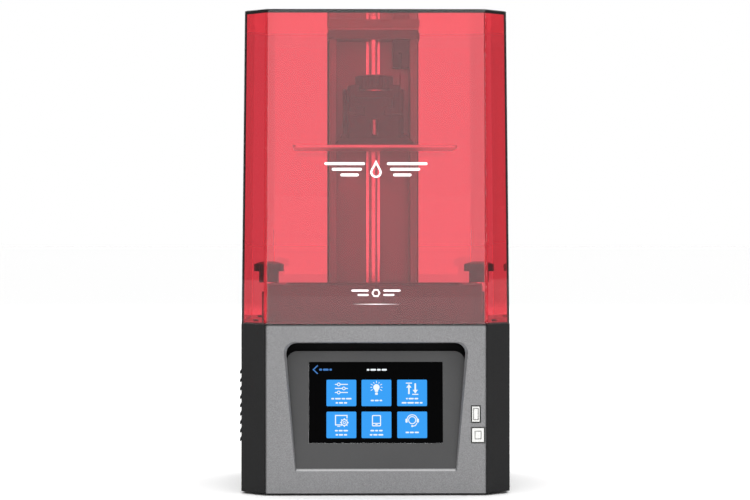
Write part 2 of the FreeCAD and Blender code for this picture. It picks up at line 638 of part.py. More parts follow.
def arm():
    body = box(-ARM_HALF, ARM_HALF, ARM_FRONT, ARM_BACK, ARM_Z0, ARM_Z1)
    body = round_edges(body, 2.5, V(0, 0, 1), lambda m: m.y < ARM_FRONT + 1)
    rims = [e for e in body.Edges if e.BoundBox.ZMin > ARM_Z1 - 0.01 and e.CenterOfMass.y < ARM_BACK - 1]
    body = body.makeChamfer(1.2, rims)
    head = box(-HEAD_SPACE_X, HEAD_SPACE_X, ARM_FRONT - 1, HEAD_SPACE_BACK, HEAD_SPACE_Z0, HEAD_SPACE_Z1)
    neck = box(-9, 9, ARM_FRONT - 1, HEAD_SPACE_BACK, ARM_Z0 - 1, HEAD_SPACE_Z0 + 1)
    pocket = rod(0, KNOB_Y, POCKET_Z, ARM_Z1 + 1, POCKET_R)
    hole = rod(0, KNOB_Y, HEAD_SPACE_Z1 - 1, POCKET_Z + 1, KNOB_STUD_R + RUN)
    for piece in (head, neck, pocket, hole):
        body = body.cut(piece)
    return body


def arm_screws():
    return group([cap_screw(x, 38, ARM_Z1, 3.0, 2.4) for x in (-14, 14)])


# ---- build platform ----
def hanger():
    """T head, neck and a slotted bracket that widens into the boss on the plate."""
    back = HEAD_SPACE_BACK - 0.5
    head = box(-15.5, 15.5, ARM_FRONT + 1, back, HEAD_SPACE_Z0 + HEAD_GAP, HEAD_SPACE_Z1 - HEAD_GAP)
    neck = box(-8.5, 8.5, ARM_FRONT + 1, back, 314, HEAD_SPACE_Z0 + 1)
    bracket = round_edges(box(-22.3, 22.3, -16, 18, 294, 315.4), 2.0, V(0, 0, 1))
    slot = box(-2.2, 2.2, -20, 22, 298, 311.5)
    boss = loft(rectangle(35, 31.5, -3.5), PLATE_Z1, rectangle(30, 28, -3.5), 295)
    return fuse([head, neck, bracket, boss]).cut(slot)


def build_plate():
    plate = round_edges(box(-PLATE_HALF, PLATE_HALF, PLATE_Y0, PLATE_Y1, PLATE_Z0, PLATE_Z1), 3, V(0, 0, 1))
    return plate.makeChamfer(0.5, [e for e in plate.Edges if e.BoundBox.ZMin > PLATE_Z1 - 0.01])


def level_screws():
    return group([cap_screw(x, y, 295, 3.2, 3.0) for x in (-26, 26) for y in (-27, 20)])


def knob_collar():
    return rod(0, KNOB_Y, POCKET_Z, KNOB_Z0, 11).cut(rod(0, KNOB_Y, 330, 350, KNOB_STUD_R + RUN))


def platform_knob():
    disc = rod(0, KNOB_Y, KNOB_Z0, KNOB_TOP, KNOB_R).common(Part.makeSphere(70, V(0, KNOB_Y, KNOB_TOP - 70)))
    flutes = [rod(18.2 * math.cos(math.radians(a)), KNOB_Y + 18.2 * math.sin(math.radians(a)),
                  KNOB_Z0 - 1, KNOB_TOP + 1, 2.5) for a in range(0, 360, 20)]
    stud = rod(0, KNOB_Y, HEAD_SPACE_Z1 - HEAD_GAP + 0.05, KNOB_Z0 + 1, KNOB_STUD_R)
    return fuse([disc.cut(group(flutes)), stud])


# ---- cover ----
def cover():
    span = TOP_Z - COVER_Z
    inner_top = TOP_Z - COVER_WALL
    gap = 0.1
    outer = loft(octagon(gap), COVER_Z, octagon(gap + COVER_DRAFT), TOP_Z)
    outer = round_edges(outer, COVER_BEND, V(0, 0, 1))
    outer = outer.makeFillet(1.0, [e for e in outer.Edges if e.BoundBox.ZMin > TOP_Z - 0.01])
    lean = COVER_DRAFT * (inner_top - COVER_Z) / span
    inner = loft(octagon(gap + COVER_WALL), COVER_Z, octagon(gap + COVER_WALL + lean), inner_top)
    inner = round_edges(inner, COVER_BEND - COVER_WALL, V(0, 0, 1))
    return outer.cut(inner)


def main():
    add("foot_pads", feet())
    add("bottom_plate", bottom_plate())
    add("case_screws", group([bottom_screws(), deck_screws(), display_screws(), board_screws()]))
    add("base_shell", base_shell())
    add("vent_left", vent(LEFT_VENT_Y))
    add("vent_right", mirrored(vent(RIGHT_VENT_Y)))
    add("seal_ring", seal_ring())
    add("deck_plate", deck_plate())
    add("front_panel", front_panel())
    add("bezel_panel", bezel_panel())
    add("touch_glass", touch_glass())
    add("display_module", display_module())
    add("recess_liner", recess_liner())
    add("socket_a", socket_a())
    add("socket_b", socket_b())
    add("io_board", io_board())
    add("dc_inlet", dc_inlet())
    add("rocker_housing", rocker_housing())
    add("rocker", rocker())
    add("mask_panel", mask_panel())
    add("light_shroud", light_shroud())
    add("lens_array", lens_array())
    add("led_board", led_board())
    add("heat_sink", heat_sink())
    add("main_board", main_board())
    add("board_standoffs", board_standoffs())
    add("board_parts", board_parts())
    exhaust = (93.0, 108.0, 43.5, 71.0)
    intake = (-97.0, -86.0, -38.5, 71.0)
    add("exhaust_frame", fan_frame(*exhaust))
    add("exhaust_rotor", fan_rotor(*exhaust))
    add("filter_fan_frame", fan_frame(*intake))
    add("filter_rotor", fan_rotor(*intake))
    add("carbon_filter", carbon_filter(-108.0, -97.0, intake[2], intake[3]))
    add("vat_body", vat_body())
    add("vat_film", basin(FILM_Z0, FILM_Z1))
    add("film_frame", film_frame())
    add("clamp_posts", clamp_posts())
    add("thumb_washer_left", thumb_washer(-POST_X))
    add("thumb_knob_left", thumb_knob(-POST_X))
    add("thumb_washer_right", thumb_washer(POST_X))
    add("thumb_knob_right", thumb_knob(POST_X))
    add("column", column())
    add("column_cover", column_cover())
    add("column_cap", column_cap())
    add("column_screws", group([column_screws(), cap_screws(), rail_screws()]))
    add("linear_rail", linear_rail())
    add("lead_screw", lead_screw())
    add("stepper", stepper())
    add("limit_switch", limit_switch())
    add("rail_slider", rail_slider())
    add("carriage_block", carriage_block())
    add("brass_nut", brass_nut())
    add("carriage_screws", group([nut_screws(), arm_screws()]))
    add("limit_flag", limit_flag())
    add("arm", arm())
    add("hanger", hanger())
    add("build_plate", build_plate())
    add("level_screws", level_screws())
    add("knob_collar", knob_collar())
    add("platform_knob", platform_knob())
    add("cover", cover())
    os.makedirs("parts", exist_ok=True)
    for name, shape in NODES.items():
        shape.exportStep("parts/" + name + ".step")
        print(name, len(shape.Solids), round(shape.Volume, 1), shape.isValid())


main()
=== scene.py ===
import json
import math

import bmesh
import bpy
from mathutils import Matrix, Vector


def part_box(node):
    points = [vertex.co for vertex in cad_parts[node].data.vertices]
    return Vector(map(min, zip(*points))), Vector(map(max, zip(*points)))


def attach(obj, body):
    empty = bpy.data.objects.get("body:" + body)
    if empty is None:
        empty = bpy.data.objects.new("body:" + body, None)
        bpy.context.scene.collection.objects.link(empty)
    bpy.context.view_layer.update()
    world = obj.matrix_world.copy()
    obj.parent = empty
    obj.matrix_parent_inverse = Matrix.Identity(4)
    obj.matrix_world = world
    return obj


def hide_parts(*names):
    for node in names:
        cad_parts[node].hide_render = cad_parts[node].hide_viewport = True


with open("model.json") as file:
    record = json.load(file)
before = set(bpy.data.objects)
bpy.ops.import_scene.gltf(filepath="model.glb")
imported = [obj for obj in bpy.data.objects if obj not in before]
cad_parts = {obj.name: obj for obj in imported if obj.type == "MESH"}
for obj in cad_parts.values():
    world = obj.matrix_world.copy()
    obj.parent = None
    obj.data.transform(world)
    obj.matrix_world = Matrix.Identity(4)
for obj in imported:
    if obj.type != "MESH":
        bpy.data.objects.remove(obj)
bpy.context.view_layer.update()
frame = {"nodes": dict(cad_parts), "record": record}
NODES = frame["nodes"]
MM = 0.001

# Camera: lens and sensor in millimetres, places in metres.
LENS, SENSOR, CAMERA_REACH = 114.9, 36.0, 200.0
CAMERA_PLACE = (-0.0285, -2.0605, 0.2101)
CAMERA_LOOK = (0.0142, 1.0, -0.005)

# Area lights: name, place, target, width and height, radiance.
LIGHTS = (("side_strip", (2.9, -2.5, 0.55), (0.1, -0.1, 0.08), (0.25, 1.3), 7.0),
          ("front_softbox", (0.1, -4.2, 0.95), (0.0, 0.0, 0.35), (3.0, 2.4), 1.92))

# World brightness from the camera's side (0) round to the far side (1).
WORLD_STOPS = [(0.0, 0.62), (0.25, 0.50), (0.45, 0.42), (0.68, 0.40), (0.88, 1.0), (1.0, 1.0)]
CEILING = 1.15                          # extra brightness overhead
CEILING_FROM, CEILING_FULL = 0.28, 0.62  # height of a direction where it starts and where it is complete

# Floor paper: half width, near and far grey (the greyer far grey is painted shade), and the distances
# between which it changes.
FLOOR_REACH = 60.0
FLOOR_NEAR, FLOOR_FAR = 0.97, 0.65
FLOOR_FADE = (4.8, 5.6)

# Red acrylic of the cover.
ACRYLIC_TINT, ACRYLIC_DENSITY, ACRYLIC_IOR = (0.907, 0.072, 0.215, 1), 560.0, 1.49
FILM_IOR = 1.38
DOT_GRID = 5200.0                       # noise scale of the lit screen's dots

# Sunken panel and the picture on its touch glass, in millimetres on the panel.
PANEL_TILT = math.radians(6.7)
PANEL_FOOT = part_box("bezel_panel")[0]
SCREEN_LAYERS = {"tile": (0.010, 0.030), "mark": (0.032, 0.050)}
TILE_W, TILE_H, TILE_CORNER = 24.4, 21.6, 0.9
TILE_X = (-40.4, -11.7, 17.5)
TILE_V = (50.9, 24.8)
ICON_DROP = 7.4                         # icon's centre below the tile's upper edge

# Cover: how far the front wall leans back over its height, and the white marks, in millimetres.
COVER_LOW, COVER_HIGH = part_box("cover")
COVER_LEAN = 2.8 * MM / (COVER_HIGH[2] - COVER_LOW[2])
INK = (0.02, 0.07)                      # lower and upper face of the ink above the wall
UPPER_MARK_Z, LOWER_MARK_Z, FLASH_Z = 266.0, 164.5, 156.2

# Threads, in metres: crest radius, root radius and pitch.
SCREW_THREAD = (0.00398, 0.0031, 0.002)
STUD_THREAD = (0.00215, 0.0016, 0.0012)
STUD_BACK = 0.0219                      # stud's axis behind the hanger's front
STUD_SPAN = (0.2985, 0.3110)

# Small surface parts, in millimetres.
TAPE_EDGE, TAPE_WINDOW = 0.1, 3.0       # inset of the mask tape's outer and inner edge
RIM_WIDTH = 0.45                        # dark outline round a data socket
LIP_HEIGHT, LIP_MARGIN = 2.4, 1.0       # lip on the column cap
FOOT_Z = 20.0                           # lower edge of the bevel along the foot of the recess
MESH_PITCH, MESH_WIRE = 0.0032, 0.00035  # dust mesh, in metres


# ---------------------------------------------------------------- camera, floor and lights
def aim(obj, direction):
    obj.rotation_euler = Vector(direction).to_track_quat("-Z", "Y").to_euler()


def make_camera():
    data = bpy.data.cameras.new("camera")
    data.lens = LENS
    data.sensor_width = SENSOR
    data.clip_end = CAMERA_REACH
    cam = bpy.data.objects.new("camera", data)
    bpy.context.scene.collection.objects.link(cam)
    cam.location = CAMERA_PLACE
    aim(cam, CAMERA_LOOK)
    bpy.context.scene.camera = cam


def area_light(name, place, target, size, radiance):
    data = bpy.data.lights.new(name, "AREA")
    data.shape = "RECTANGLE"
    data.size, data.size_y = size
    data.energy = radiance * math.pi * size[0] * size[1]
    lamp = bpy.data.objects.new(name, data)
    bpy.context.scene.collection.objects.link(lamp)
    lamp.location = place
    aim(lamp, Vector(target) - Vector(place))


def fill_ramp(node, stops):
    while len(node.color_ramp.elements) < len(stops):
        node.color_ramp.elements.new(0.5)
    for element, (position, color) in zip(node.color_ramp.elements, stops):
        element.position = position
        element.color = (*color, 1)


def make_world():
    """White behind the object, dimmer to the sides, bright overhead."""
    world = bpy.data.worlds.new("studio")
    bpy.context.scene.world = world
    world.use_nodes = True
    tree = world.node_tree
    tree.nodes.clear()
    coord = tree.nodes.new("ShaderNodeTexCoord")
    split = tree.nodes.new("ShaderNodeSeparateXYZ")
    shift = tree.nodes.new("ShaderNodeMapRange")
    shift.inputs["From Min"].default_value = -1.0
    ramp = tree.nodes.new("ShaderNodeValToRGB")
    fill_ramp(ramp, [(position, (grey, grey, grey)) for position, grey in WORLD_STOPS])
    ceiling = tree.nodes.new("ShaderNodeMapRange")
    ceiling.inputs["From Min"].default_value = CEILING_FROM
    ceiling.inputs["From Max"].default_value = CEILING_FULL
    ceiling.inputs["To Max"].default_value = CEILING
    total = tree.nodes.new("ShaderNodeVectorMath")
    back = tree.nodes.new("ShaderNodeBackground")
    out = tree.nodes.new("ShaderNodeOutputWorld")
    link = tree.links.new
    link(split.outputs["Z"], ceiling.inputs["Value"])
    link(ceiling.outputs["Result"], total.inputs[1])
    link(coord.outputs["Generated"], split.inputs[0])
    link(split.outputs["Y"], shift.inputs["Value"])
    link(shift.outputs["Result"], ramp.inputs["Fac"])
    link(ramp.outputs["Color"], total.inputs[0])
    link(total.outputs["Vector"], back.inputs["Color"])
    link(back.outputs[0], out.inputs["Surface"])


# ---------------------------------------------------------------- materials
def principled(name):
    mat = bpy.data.materials.new(name)
    mat.use_nodes = True
    return mat, mat.node_tree, mat.node_tree.nodes["Principled BSDF"]


def noise(tree, scale, detail=4.0, stretch=(1, 1, 1)):
    coord = tree.nodes.new("ShaderNodeTexCoord")
    place = tree.nodes.new("ShaderNodeMapping")
    place.inputs["Scale"].default_value = stretch
    tex = tree.nodes.new("ShaderNodeTexNoise")
    tex.inputs["Scale"].default_value = scale
    tex.inputs["Detail"].default_value = detail
    tex.inputs["Roughness"].default_value = 0.55
    tree.links.new(coord.outputs["Object"], place.inputs["Vector"])
    tree.links.new(place.outputs["Vector"], tex.inputs["Vector"])
    return tex.outputs["Fac"]


def ramp_of(tree, value, stops):
    node = tree.nodes.new("ShaderNodeValToRGB")
    fill_ramp(node, stops)
    tree.links.new(value, node.inputs["Fac"])
    return node.outputs["Color"]


def spread(tree, value, low, high, from_low=0.3, from_high=0.7):
    node = tree.nodes.new("ShaderNodeMapRange")
    node.inputs["From Min"].default_value = from_low
    node.inputs["From Max"].default_value = from_high
    node.inputs["To Min"].default_value = low
    node.inputs["To Max"].default_value = high
    tree.links.new(value, node.inputs["Value"])
    return node.outputs["Result"]


def bump(tree, height, depth, strength=1.0):
    node = tree.nodes.new("ShaderNodeBump")
    node.inputs["Distance"].default_value = depth
    node.inputs["Strength"].default_value = strength
    tree.links.new(height, node.inputs["Height"])
    return node.outputs["Normal"]


def shade(color, factor):
    return tuple(min(1.0, c * factor) for c in color)


def finish(name, color, rough, metallic=0.0, grain=1800.0, tint=0.12, depth=0.00002, stretch=(1, 1, 1),
           blotch=18.0, rough_range=0.06, **sockets):
    """General surface: fine grain in colour and relief, with slow variation in roughness."""
    mat, tree, shader = principled(name)
    fine = noise(tree, grain, 3.0, stretch)
    slow = noise(tree, blotch, 3.0)
    color_out = ramp_of(tree, fine, [(0.3, shade(color, 1 - tint)), (0.7, shade(color, 1 + tint))])
    tree.links.new(color_out, shader.inputs["Base Color"])
    tree.links.new(spread(tree, slow, rough - rough_range, rough + rough_range), shader.inputs["Roughness"])
    tree.links.new(bump(tree, fine, depth), shader.inputs["Normal"])
    shader.inputs["Metallic"].default_value = metallic
    for socket, value in sockets.items():
        shader.inputs[socket.replace("_", " ")].default_value = value
    return mat


def red_acrylic():
    """Clear red moulding whose colour comes from its thickness."""
    mat, tree, shader = principled("red_acrylic")
    shader.inputs["Base Color"].default_value = (1, 1, 1, 1)
    shader.inputs["Transmission Weight"].default_value = 1.0
    shader.inputs["IOR"].default_value = ACRYLIC_IOR
    haze = spread(tree, noise(tree, 60.0, 6.0, (1, 1, 0.3)), 0.0, 0.006, 0.45, 0.75)
    tree.links.new(haze, shader.inputs["Roughness"])
    wave = noise(tree, 9.0, 1.0)
    tree.links.new(bump(tree, wave, 0.0002, 0.12), shader.inputs["Normal"])
    absorb = tree.nodes.new("ShaderNodeVolumeAbsorption")
    absorb.inputs["Color"].default_value = ACRYLIC_TINT
    absorb.inputs["Density"].default_value = ACRYLIC_DENSITY
    out = [n for n in tree.nodes if n.type == "OUTPUT_MATERIAL"][0]
    tree.links.new(absorb.outputs[0], out.inputs["Volume"])
    return mat


def clear_film(name, tone, ior):
    """Clear sheet or lens with a little haze."""
    mat, tree, shader = principled(name)
    shader.inputs["Base Color"].default_value = (*tone, 1)
    shader.inputs["Transmission Weight"].default_value = 1.0
    shader.inputs["IOR"].default_value = ior
    tree.links.new(spread(tree, noise(tree, 300.0, 4.0), 0.05, 0.16), shader.inputs["Roughness"])
    return mat


def board_green():
    """Solder mask over fine straight copper tracks."""
    mat, tree, shader = principled("board_green")
    coord = tree.nodes.new("ShaderNodeTexCoord")
    brick = tree.nodes.new("ShaderNodeTexBrick")
    brick.inputs["Scale"].default_value = 160.0
    brick.inputs["Mortar Size"].default_value = 0.06
    brick.inputs["Color1"].default_value = (0.015, 0.10, 0.04, 1)
    brick.inputs["Color2"].default_value = (0.02, 0.13, 0.05, 1)
    brick.inputs["Mortar"].default_value = (0.05, 0.24, 0.09, 1)
    tree.links.new(coord.outputs["Object"], brick.inputs["Vector"])
    tree.links.new(brick.outputs["Color"], shader.inputs["Base Color"])
    tree.links.new(spread(tree, noise(tree, 500.0), 0.25, 0.4), shader.inputs["Roughness"])
    tree.links.new(bump(tree, brick.outputs["Fac"], 0.00003), shader.inputs["Normal"])
    return mat


def lit(name, color):
    """Lit screen: glowing colour with a faint dot grid."""
    mat, tree, shader = principled(name)
    shader.inputs["Base Color"].default_value = (0.01, 0.01, 0.01, 1)
    shader.inputs["Roughness"].default_value = 0.35
    shader.inputs["Specular IOR Level"].default_value = 0.05
    fine = noise(tree, DOT_GRID, 1.0)
    glow = ramp_of(tree, fine, [(0.35, shade(color, 0.95)), (0.65, color)])
    tree.links.new(glow, shader.inputs["Emission Color"])
    shader.inputs["Emission Strength"].default_value = 1.0
    return mat


FINISHES = {
    "black_sheet": dict(color=(0.0095, 0.0095, 0.0098), rough=0.5, grain=1500, depth=0.00004, tint=0.3,
                        Specular_IOR_Level=0.14),
    "grey_paint": dict(color=(0.181, 0.181, 0.185), rough=0.44, metallic=0.30, grain=1500, tint=0.30,
                       depth=0.00001, Coat_Weight=0.15, Coat_Roughness=0.25),
    # painted highlight: lighter grey for the strip along the foot of the recess
    "painted_highlight_grey": dict(color=(0.42, 0.42, 0.425), rough=0.36, metallic=0.2, grain=1100, tint=0.08,
                      depth=0.0),
    "dark_panel": dict(color=(0.0535, 0.0537, 0.0545), rough=0.55, grain=2200, tint=0.10, depth=0.00001,
                       Specular_IOR_Level=0.3),
    "black_plastic": dict(color=(0.0025, 0.0025, 0.0025), rough=0.6, grain=1400, tint=0.2, depth=0.00003,
                          Specular_IOR_Level=0.06),
    "screen_glass": dict(color=(0.0005, 0.0005, 0.0006), rough=0.12, grain=400, tint=0.3, depth=0.0,
                         rough_range=0.04, Specular_IOR_Level=0.01),
    "feet_rubber": dict(color=(0.022, 0.022, 0.022), rough=0.8, grain=900, depth=0.00006),
    "seal_rubber": dict(color=(0.015, 0.015, 0.015), rough=0.7, grain=900, depth=0.00004),
    "steel": dict(color=(0.86, 0.86, 0.87), rough=0.22, metallic=1.0, grain=1600, tint=0.10, depth=0.00001,
                  stretch=(1, 1, 0.04)),
    "screw_steel": dict(color=(0.92, 0.92, 0.93), rough=0.18, metallic=1.0, grain=900, tint=0.06, depth=0.0,
                        rough_range=0.04),
    "stud_zinc": dict(color=(0.95, 0.95, 0.96), rough=0.42, metallic=0.7, grain=900, tint=0.04, depth=0.0),
    "dark_steel": dict(color=(0.06, 0.06, 0.062), rough=0.36, metallic=0.9, grain=1500, tint=0.2,
                       depth=0.00001),
    "alu": dict(color=(0.70, 0.70, 0.71), rough=0.40, metallic=1.0, grain=2400, tint=0.08, depth=0.00002),
    "alu_dark": dict(color=(0.125, 0.123, 0.125), rough=0.42, metallic=0.4, grain=2200, tint=0.15,
                     depth=0.00001),
    "deck_gloss": dict(color=(0.055, 0.055, 0.058), rough=0.10, metallic=0.0, grain=700, tint=0.2,
                       depth=0.0, rough_range=0.04),
    "plate_alu": dict(color=(0.72, 0.72, 0.73), rough=0.42, metallic=1.0, grain=3200, tint=0.14,
                      depth=0.00003, blotch=40.0),
    "brass": dict(color=(0.74, 0.54, 0.22), rough=0.26, metallic=1.0, grain=1500, tint=0.08, depth=0.00001),
    "parts_black": dict(color=(0.020, 0.020, 0.021), rough=0.48, grain=1100, tint=0.2, depth=0.00004),
    "white_plastic": dict(color=(0.72, 0.72, 0.70), rough=0.45, grain=1300, tint=0.04, depth=0.00002),
    "carbon": dict(color=(0.018, 0.018, 0.018), rough=0.85, grain=420, tint=0.5, depth=0.0006),
    # white print; its emission is a painted glow, not a lamp
    "white_ink_painted_glow": dict(color=(0.93, 0.91, 0.91), rough=0.5, grain=1800, tint=0.03, depth=0.00001,
                      Emission_Color=(1, 0.95, 0.95, 1), Emission_Strength=0.35),
    "column_alu": dict(color=(0.25, 0.247, 0.25), rough=0.38, metallic=0.5, grain=1800, tint=0.16,
                       depth=0.00001, blotch=30.0),
    "alu_black": dict(color=(0.013, 0.013, 0.014), rough=0.42, metallic=0.2, grain=2400, tint=0.12,
                      depth=0.0),
    "vat_alu": dict(color=(0.085, 0.084, 0.086), rough=0.44, metallic=0.4, grain=2200, tint=0.15,
                    depth=0.00001),
    "vat_dark": dict(color=(0.16, 0.158, 0.16), rough=0.40, metallic=0.4, grain=2000, tint=0.15,
                     depth=0.00001),
    "tape_black": dict(color=(0.012, 0.012, 0.012), rough=0.6, grain=1600, depth=0.00003),
}
MATERIALS = {name: finish(name, **look) for name, look in FINISHES.items()}
MATERIALS.update({
    "red_acrylic": red_acrylic(),
    "board_green": board_green(),
    "film_clear": clear_film("film_clear", (0.90, 0.93, 0.95), FILM_IOR),
    "lens_clear": clear_film("lens_clear", (0.95, 0.96, 0.98), ACRYLIC_IOR),
    "ui_blue": lit("ui_blue", (0.024, 0.350, 0.950)),
    "ui_white": lit("ui_white", (0.90, 0.97, 1.0)),
    "ui_dim_blue": lit("ui_dim_blue", (0.05, 0.20, 0.55)),
})

# Nodes whose finish differs from their material slot.
SPECIAL_FINISH = {"deck_plate": "deck_gloss", "build_plate": "plate_alu", "column": "column_alu",
                  "arm": "alu_black", "hanger": "alu_black", "carriage_block": "alu_black",
                  "vat_body": "vat_alu"}


def paint(obj, key):
    obj.data.materials.clear()
    obj.data.materials.append(MATERIALS[key])


def paint_frame():
    for part in frame["record"]["subparts"]:
        node = part["node"]
        paint(NODES[node], SPECIAL_FINISH.get(node, part["material_slot"]))


# ---------------------------------------------------------------- building pieces
def new_mesh(name, bm, key, body):
    """Turns the faces into a piece with a finish and a body to ride on."""
    bmesh.ops.recalc_face_normals(bm, faces=bm.faces)
    mesh = bpy.data.meshes.new(name)
    bm.to_mesh(mesh)
    bm.free()
    obj = bpy.data.objects.new(name, mesh)
    bpy.context.scene.collection.objects.link(obj)
    paint(obj, key)
    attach(obj, body)
    return obj


def add_plate(bm, outline, place, low, high, hole=None):
    """A flat plate with the given outline, or a ring when a hole of as many points is given."""
    def ring(points, height):
        return [bm.verts.new(place(x, y, height)) for x, y in points]
    top, bottom = ring(outline, high), ring(outline, low)
    count = len(outline)
    for i in range(count):
        j = (i + 1) % count
        bm.faces.new((bottom[i], bottom[j], top[j], top[i]))
    if hole is None:
        bm.faces.new(top)
        bm.faces.new(bottom[::-1])
        return
    top_in, bottom_in = ring(hole, high), ring(hole, low)
    for i in range(count):
        j = (i + 1) % count
        bm.faces.new((top[i], top[j], top_in[j], top_in[i]))
        bm.faces.new((bottom[j], bottom[i], bottom_in[i], bottom_in[j]))
        bm.faces.new((bottom_in[j], bottom_in[i], top_in[i], top_in[j]))


def arc(cx, cy, r, a0, a1, steps):
    return [(cx + r * math.cos(math.radians(a0 + (a1 - a0) * i / steps)),
             cy + r * math.sin(math.radians(a0 + (a1 - a0) * i / steps))) for i in range(steps + 1)]


def circle(cx, cy, r, steps=24):
    return arc(cx, cy, r, 0, 360, steps)[:-1]


def rounded(x0, y0, x1, y1, r, steps=5):
    return (arc(x1 - r, y0 + r, r, -90, 0, steps) + arc(x1 - r, y1 - r, r, 0, 90, steps)
            + arc(x0 + r, y1 - r, r, 90, 180, steps) + arc(x0 + r, y0 + r, r, 180, 270, steps))


def stroke(points, width):
    """Outline of a mitred line through the points."""
    left, right = [], []
    for i, (x, y) in enumerate(points):
        before = points[max(i - 1, 0)]
        after = points[min(i + 1, len(points) - 1)]
        if i in (0, len(points) - 1):
            d = Vector((after[0] - before[0], after[1] - before[1])).normalized()
            scale = 1.0
        else:
            d0 = Vector((x - before[0], y - before[1])).normalized()
            d1 = Vector((after[0] - x, after[1] - y)).normalized()
            d = (d0 + d1).normalized()
            scale = 1.0 / max(0.35, d.dot(d1))
        n = Vector((-d.y, d.x)) * width * 0.5 * scale
        left.append((x + n.x, y + n.y))
        right.append((x - n.x, y - n.y))
    return left + right[::-1]


# ---------------------------------------------------------------- touch screen picture
def on_panel(x, v, n):
    """Millimetres across, up the sunken panel from its foot, and out of it, as a point in metres."""
    x, v, n = x * MM, v * MM, n * MM
    return (x,
            PANEL_FOOT[1] + v * math.sin(PANEL_TILT) - n * math.cos(PANEL_TILT),
            PANEL_FOOT[2] + v * math.cos(PANEL_TILT) + n * math.sin(PANEL_TILT))


class Picture:
    """Collects flat shapes of one colour on one surface."""

    def __init__(self, name, key, slot, body, place, low, high):
        self.name, self.key, self.slot, self.body = name, key, slot, body
        self.place, self.low, self.high = place, low, high
        self.bm = bmesh.new()

    def fill(self, outline, hole=None):
        add_plate(self.bm, outline, self.place, self.low, self.high, hole)

    def line(self, points, width):
        self.fill(stroke(points, width))

    def ring(self, cx, cy, r, width, steps=28):
        self.fill(circle(cx, cy, r + width / 2, steps), circle(cx, cy, r - width / 2, steps))

    def bars(self, cx, y, widths, height, gap):
        """A row of short rounded bars centred on cx."""
        x = cx - 0.5 * (sum(widths) + gap * (len(widths) - 1))
        for w in widths:
            self.fill(rounded(x, y, x + w, y + height, height * 0.42, 3))
            x += w + gap

    def done(self):
        new_mesh(self.name, self.bm, self.key, self.body)


def screen_picture(name, key, layer):
    low, high = SCREEN_LAYERS[layer]
    return Picture(name, key, "screen_glass", "base", on_panel, low, high)


# The icons are drawn in millimetres from their centre (cx, cy).
def icon_sliders(pic, cx, cy):
    for row, knob in ((3.6, -2.2), (0.3, 2.0), (-3.0, -2.2)):
        y = cy + row
        pic.line([(cx - 5.3, y), (cx + knob - 1.25, y)], 0.75)
        pic.line([(cx + knob + 1.25, y), (cx + 5.3, y)], 0.75)
        pic.ring(cx + knob, y, 1.15, 0.65, 20)


def icon_bulb(pic, cx, cy):
    body = arc(cx, cy + 1.2, 2.6, -52, 232, 22) + [(cx - 1.1, cy - 2.6), (cx + 1.1, cy - 2.6)]
    pic.fill(body)
    pic.fill(rounded(cx - 1.1, cy - 5.0, cx + 1.1, cy - 3.1, 0.5, 3))
    for a in range(-30, 211, 30):
        c, s = math.cos(math.radians(a)), math.sin(math.radians(a))
        reach = 5.3 if a % 60 else 4.9
        pic.line([(cx + 3.5 * c, cy + 1.2 + 3.5 * s), (cx + reach * c, cy + 1.2 + reach * s)], 0.5)


def icon_arrows(pic, cx, cy):
    for x, way in ((cx - 2.6, 1), (cx + 2.6, -1)):
        pic.line([(x - 2.5, cy + 4.6 * way), (x + 2.5, cy + 4.6 * way)], 0.8)
        pic.fill([(x, cy + 3.9 * way), (x - 2.1, cy + 0.9 * way), (x + 2.1, cy + 0.9 * way)][::way])
        pic.line([(x, cy + 0.9 * way), (x, cy - 4.4 * way)], 1.3)


def icon_settings(pic, cx, cy):
    pic.line([(cx + 0.2, cy - 3.4), (cx - 4.8, cy - 3.4), (cx - 4.8, cy + 4.3), (cx + 4.6, cy + 4.3),
              (cx + 4.6, cy + 1.9)], 0.85)
    gear_x, gear_y = cx + 2.4, cy - 1.5
    pic.ring(gear_x, gear_y, 2.4, 0.75)
    pic.ring(gear_x, gear_y, 0.95, 0.55, 18)
    for a in range(0, 360, 45):
        c, s = math.cos(math.radians(a)), math.sin(math.radians(a))
        pic.line([(gear_x + 2.75 * c, gear_y + 2.75 * s), (gear_x + 3.5 * c, gear_y + 3.5 * s)], 0.9)
    pic.line([(cx - 3.4, cy - 4.6), (cx - 0.9, cy - 4.6)], 0.6)


def icon_tablet(pic, cx, cy):
    pic.fill(rounded(cx - 3.7, cy - 4.6, cx + 3.7, cy + 4.6, 0.9),
             rounded(cx - 2.9, cy - 3.8, cx + 2.9, cy + 3.8, 0.5))
    pic.line([(cx - 2.9, cy - 2.2), (cx + 2.9, cy - 2.2)], 0.7)
    pic.line([(cx - 0.9, cy - 3.1), (cx + 0.9, cy - 3.1)], 0.7)


def icon_headset(pic, cx, cy):
    pic.ring(cx, cy + 0.4, 2.9, 0.7)
    pic.line(arc(cx, cy + 0.6, 4.2, -12, 192, 24), 0.75)
    for side in (-1, 1):
        pic.fill(rounded(cx + side * 4.6 - 0.9, cy - 1.6, cx + side * 4.6 + 0.9, cy + 1.6, 0.7))
    pic.line([(cx + 4.0, cy - 2.0), (cx + 2.6, cy - 4.0), (cx + 0.6, cy - 4.5)], 0.7)
    pic.fill(circle(cx, cy - 4.4, 0.8, 14))


# Widths of the bars that stand for each tile's words, one tuple for each line.
LABELS = [[[(2.4, 4.6, 3.0, 4.4), (2.0, 3.4, 2.6)], [(2.6, 3.2, 2.2)],
           [(1.4, 4.2, 3.0), (4.0, 5.2, 3.4, 2.4)]],
          [[(2.4, 3.2, 3.6), (2.0, 3.4, 2.6)], [(3.2, 2.4, 3.0), (2.2, 3.4, 4.0)], [(2.8, 3.2, 3.4)]]]
ICONS = [[icon_sliders, icon_bulb, icon_arrows], [icon_settings, icon_tablet, icon_headset]]


